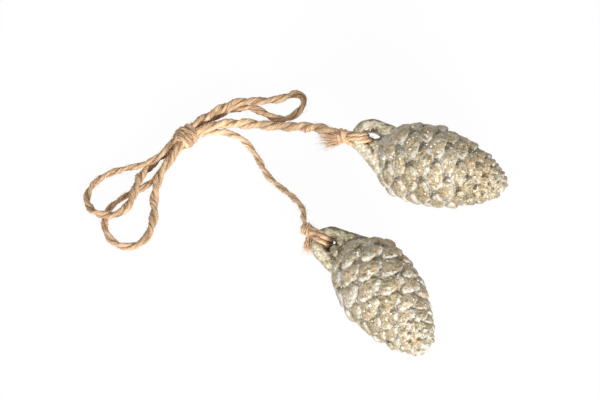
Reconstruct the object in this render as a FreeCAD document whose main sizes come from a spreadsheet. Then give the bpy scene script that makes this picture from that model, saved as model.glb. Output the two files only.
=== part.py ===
import FreeCAD, Part
import math
import os
import random
import Sketcher

# Two cast pine cones tied to the ends of one length of jute twine, which is tied in a bow.
# Everything lies on a table. Z is up, Y points away from the viewer and X to the viewer's right.
# The origin is on the table, under the middle of the two cones.

V = FreeCAD.Vector
doc = FreeCAD.newDocument("pine_cone_ornament")

# Driving sizes in millimetres and degrees.
# Stations are measured along a cone's axis from the shoulder, where the eye begins, to the tip.
SIZES = {
    # Cone: profile of the smooth core that the scales stand on.
    "tip_station": 46.0,
    "nose_length": 2.2,
    "belt_station": 12.0,
    "belt_radius": 12.5,
    "shoulder_station": -4.0,
    "shoulder_radius": 5.5,
    "neck_station": -7.3,
    "neck_radius": 4.6,
    "taper_power": 1.4,
    # Scales: how many, how closely they follow each other, how high they stand and reach over.
    "scale_count": 94,
    "scale_pitch": 0.66,
    "scale_relief": 2.2,
    "scale_overhang": 0.11,
    # Eye: an arch whose one leg runs along the cone and whose other leg slopes away.
    "eye_reach": 17.2,
    "eye_bar": 4.8,
    "eye_bend_radius": 4.6,
    "eye_side_shift": 4.4,
    "eye_root_station": 3.9,
    "eye_flank_angle": 36.0,
    "eye_root_length": 18.5,
    # Where the cones' belts lie, and the rolls at which a cone rests on three of its scales.
    "upper_cone_x": 6.7,
    "upper_cone_y": 28.245,
    "upper_cone_heading": -17.0,
    "upper_cone_roll": 4.46,
    "lower_cone_x": -11.31,
    "lower_cone_y": -21.335,
    "lower_cone_heading": -55.6,
    "lower_cone_roll": 180.5,
    # Twine and the knot of the bow: a wide wrap, a waist and a slim wrap.
    "twine_diameter": 2.4,
    "bow_x": -78.7,
    "bow_y": 46.4,
    "bow_heading": 41.7,
    "bow_end_radius": 3.0,
    "bow_wide_radius": 3.7,
    "bow_waist_radius": 3.2,
    "bow_slim_radius": 3.5,
    "bow_wide_wrap": 4.2,
    "bow_slim_wrap": 3.4,
    # Ties: the turn round the arch, its small knot, and where on the arch each one pulls.
    "tie_clearance": 0.45,
    "tie_turn_width": 2.6,
    "tie_turn_thickness": 1.7,
    "tie_knot_radius": 2.1,
    "tie_knot_end_radius": 1.6,
    "tie_knot_length": 3.8,
    "upper_tie_angle": 191.0,
    "lower_tie_angle": 160.4,
}
sheet = doc.addObject("Spreadsheet::Sheet", "Sizes")
for row, (alias, value) in enumerate(SIZES.items(), 1):
    sheet.set(f"A{row}", alias)
    sheet.set(f"B{row}", str(value))
    sheet.setAlias(f"B{row}", alias)
doc.recompute()


def size(alias):
    return float(sheet.get(alias))


# The scales stand on a spiral: each is a golden angle round the axis from the one before it.
# Scale k touches scales k + 5 and k + 8 in front of it, so the surface divides into four-sided cells.
GOLDEN_ANGLE = 180 * (3 - math.sqrt(5))
LEFT_STEP = 5
RIGHT_STEP = 8
LEFT_TURNS = 2
RIGHT_TURNS = 3
PROFILE_STEPS = 600


def core_radius(station):
    """Radius of the smooth core: a rounded shoulder up to the belt, then a taper to the tip."""
    belt = size("belt_station")
    if station < belt:
        share = min((belt - station) / (belt - size("shoulder_station")), 1.0)
        rise = size("belt_radius") - size("shoulder_radius")
        return size("shoulder_radius") + rise * math.sqrt(1 - share * share)
    share = min((station - belt) / (size("tip_station") - belt), 1.0)
    return size("belt_radius") * (1 - share * share) ** size("taper_power")


def core_profile():
    """Closely spaced points along the core's profile: station, radius and running scale number."""
    start = size("shoulder_station")
    length = size("tip_station") - start
    points = []
    number = -(LEFT_STEP + RIGHT_STEP) / 2
    for step in range(PROFILE_STEPS + 1):
        station = start + length * (1 - math.cos(math.pi * step / PROFILE_STEPS)) / 2
        radius = core_radius(station)
        if points:
            travel = math.hypot(station - points[-1][0], radius - points[-1][1])
            middle = (radius + points[-1][1]) / 2
            number += travel * size("belt_radius") / (size("scale_pitch") * middle)
        points.append((station, radius, number))
    return points


PROFILE = core_profile()


def profile_point(number):
    """Station, radius and outward normal of the core where the scale numbered number would sit."""
    low = 0
    high = len(PROFILE) - 1
    number = min(max(number, PROFILE[low][2]), PROFILE[high][2])
    while high - low > 1:
        middle = (low + high) // 2
        if PROFILE[middle][2] <= number:
            low = middle
        else:
            high = middle
    before = PROFILE[low]
    after = PROFILE[high]
    share = (number - before[2]) / (after[2] - before[2])
    station = before[0] + share * (after[0] - before[0])
    radius = before[1] + share * (after[1] - before[1])
    travel = math.hypot(after[0] - before[0], after[1] - before[1])
    return station, radius, -(after[1] - before[1]) / travel, (after[0] - before[0]) / travel


def cell_point(scale, left, right, height):
    """A point over scale's cell: left and right run from -0.5 at its back to 0.5 at its front edges."""
    station, radius, normal_x, normal_r = profile_point(scale + LEFT_STEP * left + RIGHT_STEP * right)
    turn = scale * GOLDEN_ANGLE
    turn += left * (LEFT_STEP * GOLDEN_ANGLE - LEFT_TURNS * 360)
    turn += right * (RIGHT_STEP * GOLDEN_ANGLE - RIGHT_TURNS * 360)
    full_height_radius = size("belt_radius") / 2
    height *= min(radius / full_height_radius, 1.0)
    station += height * normal_x
    radius += height * normal_r
    angle = math.radians(turn)
    return V(station, radius * math.cos(angle), radius * math.sin(angle))


def neck_rims(rim):
    """The solid neck behind the first scales, which ends the eye's hole on the side of the body."""
    rims = []
    hub = V(size("neck_station"), 0, 0)
    for first, second in zip(rim, rim[1:]):
        ring = []
        for point in (first, second):
            angle = math.atan2(point.z, point.y)
            ring.append(hub + V(0, math.cos(angle), math.sin(angle)) * size("neck_radius"))
        rims.append((first, [second, ring[1], ring[0]]))
        rims.append((hub, ring))
    return rims


# Places on a scale as shares of its cell, and heights as shares of its relief.
EDGE_THIRD = 1 / 6
EDGE_ROUNDING = 0.05
CROWN_PLACE = 0.08
CHEEK_AHEAD = 0.25
CHEEK_BESIDE = -0.2
CHEEK_HEIGHT = 0.8
OUTER_LIP_HEIGHT = 0.75

# No two cast scales are alike: the range of relief shares, and the lean of an edge to one side.
UNEVEN_SEED = 5
RELIEF_RANGE = (0.85, 1.15)
LEAN_LIMIT = 0.03


def scale_facets(scale, count, relief, lean):
    """The triangles of one scale: a domed pad, its free front edge, and the step below that edge."""
    front = 0.5 + EDGE_ROUNDING
    back = -0.5 + EDGE_ROUNDING
    lip = 0.5 + size("scale_overhang")
    tip = 0.5 + size("scale_overhang") / 3

    def at(left, right, share=0.0):
        return cell_point(scale, left, right, share * relief)

    heel = at(-0.5, -0.5)
    left_corner = at(0.5, -0.5)
    right_corner = at(-0.5, 0.5)
    toe = at(0.5, 0.5)
    heel_right = [at(back, -EDGE_THIRD), at(back, EDGE_THIRD)]
    heel_left = [at(-EDGE_THIRD, back), at(EDGE_THIRD, back)]
    foot_left = [at(front, -EDGE_THIRD), at(front, EDGE_THIRD)]
    foot_right = [at(-EDGE_THIRD, front), at(EDGE_THIRD, front)]
    lip_left = [at(lip + lean, -EDGE_THIRD, OUTER_LIP_HEIGHT), at(lip + lean, EDGE_THIRD, 1.0)]
    lip_right = [at(-EDGE_THIRD, lip - lean, OUTER_LIP_HEIGHT), at(EDGE_THIRD, lip - lean, 1.0)]
    lip_tip = at(tip, tip, 1.0)
    crown = at(CROWN_PLACE, CROWN_PLACE, 1.0)
    left_cheek = at(CHEEK_AHEAD, CHEEK_BESIDE, CHEEK_HEIGHT)
    right_cheek = at(CHEEK_BESIDE, CHEEK_AHEAD, CHEEK_HEIGHT)

    rims = [
        (crown, [left_cheek, heel_left[0], heel, heel_right[0], right_cheek]),
        (crown, [right_cheek, lip_right[1], lip_tip, lip_left[1], left_cheek]),
        (right_cheek, [heel_right[0], heel_right[1], right_corner, lip_right[0], lip_right[1]]),
        (left_cheek, [lip_left[1], lip_left[0], left_corner, heel_left[1], heel_left[0]]),
        (foot_left[0], [left_corner, lip_left[0], lip_left[1], foot_left[1]]),
        (foot_left[1], [lip_left[1], lip_tip, toe]),
        (toe, [lip_tip, lip_right[1], foot_right[1]]),
        (foot_right[0], [foot_right[1], lip_right[1], lip_right[0], right_corner]),
    ]
    nose = V(profile_point(count - 1 + (LEFT_STEP + RIGHT_STEP) / 2)[0] + size("nose_length"), 0, 0)
    if scale < LEFT_STEP:
        rims += neck_rims([right_corner, heel_right[1], heel_right[0], heel])
    if scale < RIGHT_STEP:
        rims += neck_rims([heel, heel_left[0], heel_left[1], left_corner])
    if scale >= count - LEFT_STEP:
        rims.append((nose, [left_corner, foot_left[0], foot_left[1], toe]))
    if scale >= count - RIGHT_STEP:
        rims.append((nose, [toe, foot_right[1], foot_right[0], right_corner]))
    facets = []
    for hub, rim in rims:
        for first, second in zip(rim, rim[1:]):
            facets.append(Part.Face(Part.makePolygon([hub, first, second, hub])))
    return facets


def make_scale_body():
    """The body of a cone: all its scales, closed at the neck and at the nose."""
    count = int(size("scale_count"))
    uneven = random.Random(UNEVEN_SEED)
    facets = []
    for scale in range(count):
        relief = size("scale_relief") * uneven.uniform(*RELIEF_RANGE)
        facets += scale_facets(scale, count, relief, uneven.uniform(-LEAN_LIMIT, LEAN_LIMIT))
    shell = Part.makeShell(facets)
    shell.sewShape()
    body = doc.addObject("Part::Feature", "scale_body")
    body.Shape = Part.makeSolid(shell)
    return body


EYE_SIDES = 8
EYE_CORNER_RADIUS = f"Sizes.eye_bar / 2 / cos(180 deg / {EYE_SIDES})"


def eye_arch_centre():
    """Centre of the eye's round arch, in a cone's own frame."""
    back = size("eye_reach") - size("eye_bend_radius") - size("eye_bar") / 2
    return V(-back, size("eye_side_shift"), 0)


def make_eye():
    """The eye: a chamfered bar bent into a lopsided arch, its legs rooted in the shoulder."""
    path = doc.addObject("Sketcher::SketchObject", "eye_path")
    bend = size("eye_bend_radius")
    centre = eye_arch_centre()
    flank = math.radians(size("eye_flank_angle"))
    top = centre + V(0, bend, 0)
    bottom = centre + V(-bend * math.sin(flank), -bend * math.cos(flank), 0)
    root = V(size("eye_root_station"), top.y, 0)
    far_root = bottom + V(math.cos(flank), -math.sin(flank), 0) * size("eye_root_length")
    path.addGeometry(Part.LineSegment(root, top), False)
    arc = Part.ArcOfCircle(Part.Circle(centre, V(0, 0, 1), bend), math.pi / 2, 3 * math.pi / 2 - flank)
    path.addGeometry(arc, False)
    path.addGeometry(Part.LineSegment(bottom, far_root), False)
    path.addConstraint(Sketcher.Constraint("Tangent", 0, 2, 1, 1))
    path.addConstraint(Sketcher.Constraint("Tangent", 1, 2, 2, 1))
    path.addConstraint(Sketcher.Constraint("Horizontal", 0))
    bound = {
        "bend": (Sketcher.Constraint("Radius", 1, bend), "Sizes.eye_bend_radius"),
        "reach": (
            Sketcher.Constraint("DistanceX", 1, 3, -1, 1, -centre.x),
            "Sizes.eye_reach - Sizes.eye_bend_radius - Sizes.eye_bar / 2",
        ),
        "shift": (Sketcher.Constraint("DistanceY", -1, 1, 1, 3, centre.y), "Sizes.eye_side_shift"),
        "root": (Sketcher.Constraint("DistanceX", -1, 1, 0, 1, root.x), "Sizes.eye_root_station"),
        "flank": (
            Sketcher.Constraint("Angle", -1, 1, 2, 1, -flank),
            "-Sizes.eye_flank_angle * 1 deg",
        ),
        "far_root": (
            Sketcher.Constraint("Distance", 2, size("eye_root_length")),
            "Sizes.eye_root_length",
        ),
    }
    for name, (constraint, expression) in bound.items():
        index = path.addConstraint(constraint)
        path.renameConstraint(index, name)
        path.setExpression(f"Constraints.{name}", expression)
    section = doc.addObject("Part::RegularPolygon", "eye_section")
    section.Polygon = EYE_SIDES
    section.setExpression("Circumradius", EYE_CORNER_RADIUS)
    section.Placement = FreeCAD.Placement(root, FreeCAD.Rotation(V(0, 1, 0), -90))
    section.setExpression("Placement.Base.x", "Sizes.eye_root_station")
    section.setExpression("Placement.Base.y", "Sizes.eye_side_shift + Sizes.eye_bend_radius")
    eye = doc.addObject("Part::Sweep", "eye")
    eye.Sections = [section]
    eye.Spine = (path, ["Edge1", "Edge2", "Edge3"])
    eye.Solid = True
    eye.Frenet = False
    doc.recompute()
    return eye


casting = doc.addObject("Part::MultiFuse", "cone_casting")
casting.Shapes = [make_scale_body(), make_eye()]
casting.Refine = False
doc.recompute()


def resting_pitch(shape):
    """Angle that levels the two lowest points on either side of the weight, as a cone lies down."""
    points = sorted((vertex.X, vertex.Z) for vertex in shape.Vertexes)
    under = []
    for point in points:
        while len(under) > 1:
            (x1, z1), (x2, z2) = under[-2:]
            if (x2 - x1) * (point[1] - z1) > (z2 - z1) * (point[0] - x1):
                break
            under.pop()
        under.append(point)
    weight_x = shape.CenterOfGravity.x
    for (x1, z1), (x2, z2) in zip(under, under[1:]):
        if x1 <= weight_x <= x2:
            return math.degrees(math.atan2(z2 - z1, x2 - x1))
    return 0.0


def lay_cone(name):
    """One casting, rolled, lying on the table and turned to its heading."""
    rolled = casting.Shape.copy()
    roll = FreeCAD.Rotation(V(1, 0, 0), size(f"{name}_roll"))
    rolled.Placement = FreeCAD.Placement(V(0, 0, 0), roll)
    level = FreeCAD.Rotation(V(0, 1, 0), resting_pitch(rolled))
    turn = FreeCAD.Rotation(V(0, 0, 1), size(f"{name}_heading"))
    rotation = turn.multiply(level).multiply(roll)
    rolled.Placement = FreeCAD.Placement(V(0, 0, 0), rotation)
    belt = rotation.multVec(V(size("belt_station"), 0, 0))
    lowest = min(vertex.Z for vertex in rolled.Vertexes)
    cone = doc.addObject("Part::Feature", name)
    cone.Label = name
    cone.Shape = casting.Shape.copy()
    x = size(f"{name}_x") - belt.x
    y = size(f"{name}_y") - belt.y
    cone.Placement = FreeCAD.Placement(V(x, y, -lowest), rotation)
    return cone


cones = {name: lay_cone(name) for name in ("upper_cone", "lower_cone")}
KNOT_SIDES = 12


def ring(name, radius, height):
    """One outline of a knot: a regular ring square to the twine, its sizes given as expressions."""
    outline = doc.addObject("Part::RegularPolygon", name)
    outline.Polygon = KNOT_SIDES
    outline.setExpression("Circumradius", radius)
    outline.setExpression("Placement.Base.z", height)
    return outline


def barrel(name, outlines):
    """A closed solid through rings set one above the other, as a wrapped knot swells and narrows."""
    rings = [ring(f"{name}_ring_{number}", *outline) for number, outline in enumerate(outlines)]
    solid = doc.addObject("Part::Loft", name)
    solid.Sections = rings
    solid.Solid = True
    solid.Ruled = True
    return solid


def make_bow_knot():
    """The knot of the bow: a wide wrap and a slim one round the bundle of strands, lying on the table."""
    along = FreeCAD.Rotation(V(0, 0, 1), size("bow_heading")).multiply(FreeCAD.Rotation(V(0, 1, 0), 90))
    back = along.multVec(V(0, 0, -(size("bow_wide_wrap") + size("bow_slim_wrap")) / 2))
    base = V(size("bow_x"), size("bow_y"), size("bow_wide_radius")) + back
    wide = "Sizes.bow_wide_wrap"
    slim = "Sizes.bow_slim_wrap"
    outlines = [
        ("Sizes.bow_end_radius", "0 mm"),
        ("Sizes.bow_wide_radius", f"{wide} / 2"),
        ("Sizes.bow_waist_radius", wide),
        ("Sizes.bow_slim_radius", f"{wide} + {slim} / 2"),
        ("Sizes.bow_end_radius", f"{wide} + {slim}"),
    ]
    knot = barrel("bow_knot", outlines)
    knot.Placement = FreeCAD.Placement(base, along)
    knot.Label = "bow_knot"
    return knot


def make_tie(name, cone):
    """A turn of twine round the arch of an eye, and the small knot that closes it."""
    bore = f"{EYE_CORNER_RADIUS} + Sizes.tie_clearance"
    discs = {"bore": bore, "turn": f"{bore} + Sizes.tie_turn_thickness"}
    for disc_name, radius in discs.items():
        disc = doc.addObject("Part::Prism", f"{name}_{disc_name}")
        disc.Polygon = KNOT_SIDES
        disc.setExpression("Circumradius", f"({radius}) / cos(180 deg / {KNOT_SIDES})")
        disc.setExpression("Height", "Sizes.tie_turn_width")
        disc.setExpression("Placement.Base.z", "-Sizes.tie_turn_width / 2")
        discs[disc_name] = disc
    knot = barrel(f"{name}_knot", [
        ("Sizes.tie_knot_end_radius", "0 mm"),
        ("Sizes.tie_knot_radius", "Sizes.tie_knot_length / 2"),
        ("Sizes.tie_knot_end_radius", "Sizes.tie_knot_length"),
    ])
    knot.Placement = FreeCAD.Placement(V(0, 0, 0), FreeCAD.Rotation(V(0, 1, 0), 90))
    knot.setExpression("Placement.Base.x", f"{bore} + Sizes.tie_turn_thickness / 2")
    closed = doc.addObject("Part::MultiFuse", f"{name}_closed")
    closed.Shapes = [discs["turn"], knot]
    closed.Refine = False
    tie = doc.addObject("Part::Cut", name)
    tie.Base = closed
    tie.Tool = discs["bore"]
    tie.Refine = False
    pull = FreeCAD.Rotation(V(0, 0, 1), size(f"{name}_angle"))
    bar = eye_arch_centre() + pull.multVec(V(size("eye_bend_radius"), 0, 0))
    across = FreeCAD.Placement(bar, pull.multiply(FreeCAD.Rotation(V(1, 0, 0), 90)))
    tie.Placement = cone.Placement.multiply(across)
    tie.Label = name
    return tie


# The twine's centreline as it lies, from knot to knot, in millimetres.
ROUTES = {
    "twine_upper_tail": [
        (-75.5, 47.5, 5.0),
        (-72.2, 49.3, 4.6),
        (-66.7, 52.0, 3.2),
        (-60.3, 53.1, 1.5),
        (-52.5, 52.6, 1.2),
        (-45.5, 51.6, 1.8),
        (-39.8, 50.0, 4.2),
        (-35.2, 47.8, 7.6),
        (-31.5, 45.4, 10.8),
        (-28.1, 42.4, 13.9),
        (-23.5, 40.0, 15.0),
    ],
    "twine_lower_tail": [
        (-75.5, 47.5, 2.5),
        (-72.5, 49.2, 1.8),
        (-66.9, 50.0, 1.2),
        (-60.7, 48.2, 1.2),
        (-56.3, 44.0, 1.2),
        (-53.1, 38.2, 1.2),
        (-50.3, 31.5, 1.2),
        (-45.5, 26.6, 1.6),
        (-40.8, 21.1, 4.2),
        (-37.8, 14.9, 8.4),
        (-37.0, 9.4, 13.2),
        (-37.4, 4.8, 16.4),
        (-35.7, 0.5, 17.2),
    ],
    "twine_left_loop": [
        (-82.0, 45.3, 5.0),
        (-85.5, 40.4, 4.6),
        (-90.2, 35.8, 4.1),
        (-96.1, 34.0, 3.6),
        (-102.5, 33.8, 1.6),
        (-108.1, 31.6, 1.2),
        (-112.4, 27.5, 1.2),
        (-114.2, 22.3, 1.3),
        (-112.8, 17.3, 2.3),
        (-109.0, 14.1, 3.7),
        (-104.0, 13.7, 3.8),
        (-99.8, 16.3, 3.8),
        (-97.6, 20.9, 3.8),
        (-96.3, 26.4, 3.8),
        (-94.9, 31.1, 1.9),
        (-92.4, 35.2, 1.2),
        (-89.4, 38.1, 1.2),
        (-85.5, 41.6, 1.5),
        (-82.0, 45.3, 2.5),
    ],
    "twine_lower_loop": [
        (-80.3, 43.4, 5.0),
        (-83.2, 38.4, 4.6),
        (-86.7, 33.1, 4.0),
        (-88.6, 29.0, 3.7),
        (-89.7, 24.8, 2.2),
        (-90.1, 20.8, 1.2),
        (-89.8, 15.7, 1.2),
        (-90.7, 10.5, 1.2),
        (-92.4, 5.8, 1.2),
        (-96.1, 2.8, 1.2),
        (-101.0, 2.5, 1.2),
        (-105.1, 5.2, 1.2),
        (-107.2, 9.6, 1.2),
        (-107.4, 14.4, 1.2),
        (-105.7, 18.6, 1.2),
        (-102.1, 21.8, 1.2),
        (-98.2, 24.5, 1.2),
        (-93.8, 26.7, 1.2),
        (-89.9, 30.1, 1.2),
        (-86.9, 34.3, 1.2),
        (-83.5, 39.1, 1.5),
        (-80.3, 43.4, 2.5),
    ],
    "twine_right_loop": [
        (-77.1, 49.4, 5.0),
        (-73.8, 52.3, 4.8),
        (-69.0, 56.2, 4.2),
        (-63.4, 59.8, 3.8),
        (-57.1, 61.1, 3.8),
        (-51.1, 61.9, 2.4),
        (-46.2, 63.3, 1.3),
        (-43.0, 64.5, 1.2),
        (-40.1, 66.0, 1.2),
        (-37.3, 64.6, 1.2),
        (-37.0, 61.4, 1.2),
        (-38.5, 58.5, 1.2),
        (-40.8, 56.1, 1.2),
        (-44.1, 54.8, 1.2),
        (-48.0, 55.4, 1.2),
        (-51.4, 57.8, 1.2),
        (-55.9, 60.1, 1.2),
        (-60.8, 60.0, 1.2),
        (-66.2, 57.9, 1.2),
        (-72.0, 53.8, 1.3),
        (-77.1, 49.4, 2.5),
    ],
}
ARC_SHARE = 0.45
TWINE_SIDES = 6
TWINE_ENDS = {
    "twine_upper_tail": ("upper_tie",),
    "twine_lower_tail": ("lower_tie",),
    "twine_left_loop": (),
    "twine_lower_loop": (),
    "twine_right_loop": (),
}


def rounded_path(route):
    """Straight runs joined by tangent arcs, each arc as large as its two runs allow."""
    points = [V(*point) for point in route]
    edges = []
    radii = []
    start = points[0]
    for before, corner, after in zip(points, points[1:], points[2:]):
        back = (before - corner).normalize()
        ahead = (after - corner).normalize()
        reach = ARC_SHARE * min(before.distanceToPoint(corner), after.distanceToPoint(corner))
        half_turn = (math.pi - back.getAngle(ahead)) / 2
        radius = reach / math.tan(half_turn)
        bisector = (back + ahead).normalize()
        middle = corner + bisector * (radius / math.cos(half_turn) - radius)
        arc_start = corner + back * reach
        arc_end = corner + ahead * reach
        edges.append(Part.LineSegment(start, arc_start).toShape())
        edges.append(Part.Arc(arc_start, middle, arc_end).toShape())
        radii.append(round(radius, 1))
        start = arc_end
    edges.append(Part.LineSegment(start, points[-1]).toShape())
    return Part.Wire(edges), radii


def twine_section(start, towards):
    """The twine's outline, square to its first run: a six-sided ring of its full diameter."""
    radius = size("twine_diameter") / 2
    turned = FreeCAD.Rotation(V(0, 0, 1), towards - start)
    corners = []
    for corner in range(TWINE_SIDES + 1):
        angle = 2 * math.pi * corner / TWINE_SIDES
        corners.append(start + turned.multVec(V(radius * math.cos(angle), radius * math.sin(angle), 0)))
    return Part.makePolygon(corners)


def make_twine(name, route, knots):
    """One stretch of twine as a plain tube, which ends flush on the knots that hold it."""
    path, radii = rounded_path(route)
    section = twine_section(V(*route[0]), V(*route[1]))
    whole = path.makePipeShell([section], True, False)
    ideal = Part.Face(section).Area * path.Length
    print(f"{name}: arc radii {radii}")
    print(f"{name}: tube {whole.Volume:.1f} mm3, section times length {ideal:.1f} mm3, {path.Length:.1f} mm long")
    tube = doc.addObject("Part::Feature", f"{name}_tube")
    tube.Shape = whole
    for number, knot in enumerate(knots):
        last = number == len(knots) - 1
        trimmed = doc.addObject("Part::Cut", name if last else f"{name}_trimmed")
        trimmed.Base = tube
        trimmed.Tool = knot
        trimmed.Refine = False
        tube = trimmed
    tube.Label = name
    return tube


doc.recompute()
knots = {
    "bow_knot": make_bow_knot(),
    "upper_tie": make_tie("upper_tie", cones["upper_cone"]),
    "lower_tie": make_tie("lower_tie", cones["lower_cone"]),
}
pieces = list(cones.values()) + list(knots.values())
for name, route in ROUTES.items():
    ends = [knots["bow_knot"]] + [knots[end] for end in TWINE_ENDS[name]]
    pieces.append(make_twine(name, route, ends))
doc.recompute()

for item in doc.Objects:
    if "Invalid" in item.State or "Error" in item.State:
        raise RuntimeError(f"{item.Name} failed: {item.State}")
for piece in pieces:
    if piece.Shape.isNull() or not piece.Shape.isValid():
        raise RuntimeError(f"{piece.Label} has no sound shape")
os.makedirs("parts", exist_ok=True)
for piece in pieces:
    piece.Shape.exportStep(f"parts/{piece.Label}.step")
    print(f"{piece.Label}: {len(piece.Shape.Solids)} solid, {piece.Shape.Volume:.1f} mm3")
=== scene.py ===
import math
import random

import bmesh
import bpy
import numpy as np
from mathutils import Matrix, Vector, kdtree, noise


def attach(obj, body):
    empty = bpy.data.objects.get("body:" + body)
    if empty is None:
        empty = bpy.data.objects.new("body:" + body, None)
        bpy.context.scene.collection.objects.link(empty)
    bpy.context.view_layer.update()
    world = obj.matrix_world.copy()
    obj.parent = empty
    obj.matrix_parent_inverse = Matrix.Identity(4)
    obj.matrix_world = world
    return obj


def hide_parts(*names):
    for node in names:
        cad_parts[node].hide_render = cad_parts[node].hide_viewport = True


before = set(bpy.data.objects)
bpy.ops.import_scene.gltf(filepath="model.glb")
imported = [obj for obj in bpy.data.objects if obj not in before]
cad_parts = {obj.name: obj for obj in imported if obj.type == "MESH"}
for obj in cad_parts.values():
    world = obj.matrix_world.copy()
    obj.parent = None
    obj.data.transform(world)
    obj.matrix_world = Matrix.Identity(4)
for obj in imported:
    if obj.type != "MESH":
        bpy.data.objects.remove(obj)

# Two cast pine cones tied to the ends of one jute twine, which is tied in a bow. Lengths are in metres,
# or in millimetres where a comment says so.
MM = 0.001
BODY = "root"
UP = Vector((0, 0, 1))
FULL_TURN = 2 * math.pi
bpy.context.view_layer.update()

# Camera: the photograph looks down at 60 degrees, and is 212.4 mm wide at the table.
CAMERA_DISTANCE = 1.4
CAMERA_ELEVATION = math.radians(60)
LOOK_AT = Vector((-38.4, 22.3, 0.0)) * MM
VIEW_WIDTH = 212.4 * MM
SENSOR_WIDTH = 36.0


def new_object(name, data):
    item = bpy.data.objects.new(name, data)
    bpy.context.collection.objects.link(item)
    return item


def place_camera():
    """The camera at the photograph's view."""
    lens = bpy.data.cameras.new("camera")
    lens.sensor_width = SENSOR_WIDTH
    lens.lens = SENSOR_WIDTH * CAMERA_DISTANCE / VIEW_WIDTH
    camera = new_object("camera", lens)
    back = Vector((0, -math.cos(CAMERA_ELEVATION), math.sin(CAMERA_ELEVATION)))
    camera.location = LOOK_AT + back * CAMERA_DISTANCE
    camera.rotation_euler = (-back).to_track_quat("-Z", "Y").to_euler()
    bpy.context.scene.camera = camera
    bpy.context.scene.view_settings.view_transform = "Standard"


class Net:
    """Wires the nodes of a material or world. A value is a number, a tuple or another node's output."""

    def __init__(self, owner, empty=False):
        owner.use_nodes = True
        self.owner = owner
        self.nodes = owner.node_tree.nodes
        self.links = owner.node_tree.links
        if empty:
            self.nodes.clear()

    def fill(self, node, values):
        """Sets or links a node's inputs, given by name or number."""
        for label, value in values.items():
            socket = node.inputs[label]
            if isinstance(value, bpy.types.NodeSocket):
                self.links.new(value, socket)
            elif socket.type == "RGBA":
                socket.default_value = (*value, 1)
            else:
                socket.default_value = value

    def add(self, kind, values, output=0):
        """Adds a node with its inputs filled, and gives one of its outputs."""
        node = self.nodes.new(kind)
        self.fill(node, values)
        return node.outputs[output] if node.outputs else None

    def attribute(self, label, output="Fac"):
        node = self.nodes.new("ShaderNodeAttribute")
        node.attribute_name = label
        return node.outputs[output]

    def noise(self, place, scale, detail, roughness=0.5):
        values = {"Vector": place, "Scale": scale, "Detail": detail, "Roughness": roughness}
        return self.add("ShaderNodeTexNoise", values, "Fac")

    def math(self, operation, *values):
        node = self.nodes.new("ShaderNodeMath")
        node.operation = operation
        self.fill(node, dict(enumerate(values)))
        return node.outputs[0]

    def total(self, start, *parts):
        """start and each part times its weight, added up."""
        for value, weight in parts:
            start = self.math("MULTIPLY_ADD", value, weight, start)
        return start

    def vector(self, operation, values):
        node = self.nodes.new("ShaderNodeVectorMath")
        node.operation = operation
        self.fill(node, values)
        return node.outputs[0]

    def ramp(self, factor, stops):
        """A colour ramp from (place, colour) pairs; a plain number stands for a grey."""
        node = self.nodes.new("ShaderNodeValToRGB")
        elements = node.color_ramp.elements
        while len(elements) < len(stops):
            elements.new(0.5)
        for element, (place, colour) in zip(elements, stops):
            element.position = place
            colour = (colour,) * 3 if isinstance(colour, (int, float)) else colour
            element.color = (*colour, 1)
        self.fill(node, {"Fac": factor})
        return node.outputs[0]

    def blend(self, factor, first, second, mode="MIX"):
        node = self.nodes.new("ShaderNodeMix")
        node.data_type = "RGBA"
        node.blend_type = mode
        self.fill(node, {"Factor": factor, "A": first, "B": second})
        return node.outputs["Result"]


# Lamps: name, place, size and power. The soft key stands low in front, on the right.
LAMPS = [
    ("key", (0.3, -0.9, 0.36), 0.3, 13.0),
    ("fill", (-0.8, -0.35, 0.55), 0.7, 2.6),
    ("top", (0.0, 0.3, 1.0), 0.8, 1.0),
]
WORLD_STRENGTH = 0.34
WHITE = (1, 1, 1)


def seen_rays(net):
    """1 for the rays that see the background: the camera's, and those in gloss and glass."""
    path = net.nodes.new("ShaderNodeLightPath")
    seen = path.outputs["Is Camera Ray"]
    for label in ("Is Glossy Ray", "Is Transmission Ray"):
        seen = net.math("MAXIMUM", seen, path.outputs[label])
    return seen


def light_scene():
    """Soft studio lamps, a dim even sky, and a white background for the camera."""
    for name, place, width, power in LAMPS:
        lamp = bpy.data.lights.new(name, "AREA")
        lamp.shape = "DISK"
        lamp.size = width
        lamp.energy = power
        item = new_object(name, lamp)
        item.location = place
        item.rotation_euler = (LOOK_AT - Vector(place)).to_track_quat("-Z", "Y").to_euler()
    world = bpy.data.worlds.new("studio")
    bpy.context.scene.world = world
    net = Net(world, empty=True)
    sky = net.add("ShaderNodeBackground", {"Color": WHITE, "Strength": WORLD_STRENGTH})
    white = net.add("ShaderNodeBackground", {"Color": WHITE, "Strength": 1.0})
    mix = net.add("ShaderNodeMixShader", {0: seen_rays(net), 1: sky, 2: white})
    net.add("ShaderNodeOutputWorld", {"Surface": mix})


# Floor: its side, its paint, and the glow that the camera sees over the paint, by share and strength.
FLOOR_SIZE = 4.0
FLOOR_PAINT = (0.85, 0.85, 0.85)
FLOOR_GLOW = 0.95
FLOOR_LIGHT = 1.012


def make_floor():
    """A plain white table top, which keeps a faint shadow."""
    mesh = bpy.data.meshes.new("floor")
    half = FLOOR_SIZE / 2
    corners = [(-half, -half, 0), (half, -half, 0), (half, half, 0), (-half, half, 0)]
    mesh.from_pydata(corners, [], [(0, 1, 2, 3)])
    floor = new_object("floor", mesh)
    net = Net(bpy.data.materials.new("floor_white"), empty=True)
    paint = net.add("ShaderNodeBsdfDiffuse", {"Color": FLOOR_PAINT})
    glow = net.add("ShaderNodeEmission", {"Color": WHITE, "Strength": FLOOR_LIGHT})
    share = net.math("MULTIPLY", seen_rays(net), FLOOR_GLOW)
    mix = net.add("ShaderNodeMixShader", {0: share, 1: paint, 2: glow})
    net.add("ShaderNodeOutputMaterial", {"Surface": mix})
    mesh.materials.append(net.owner)


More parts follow.
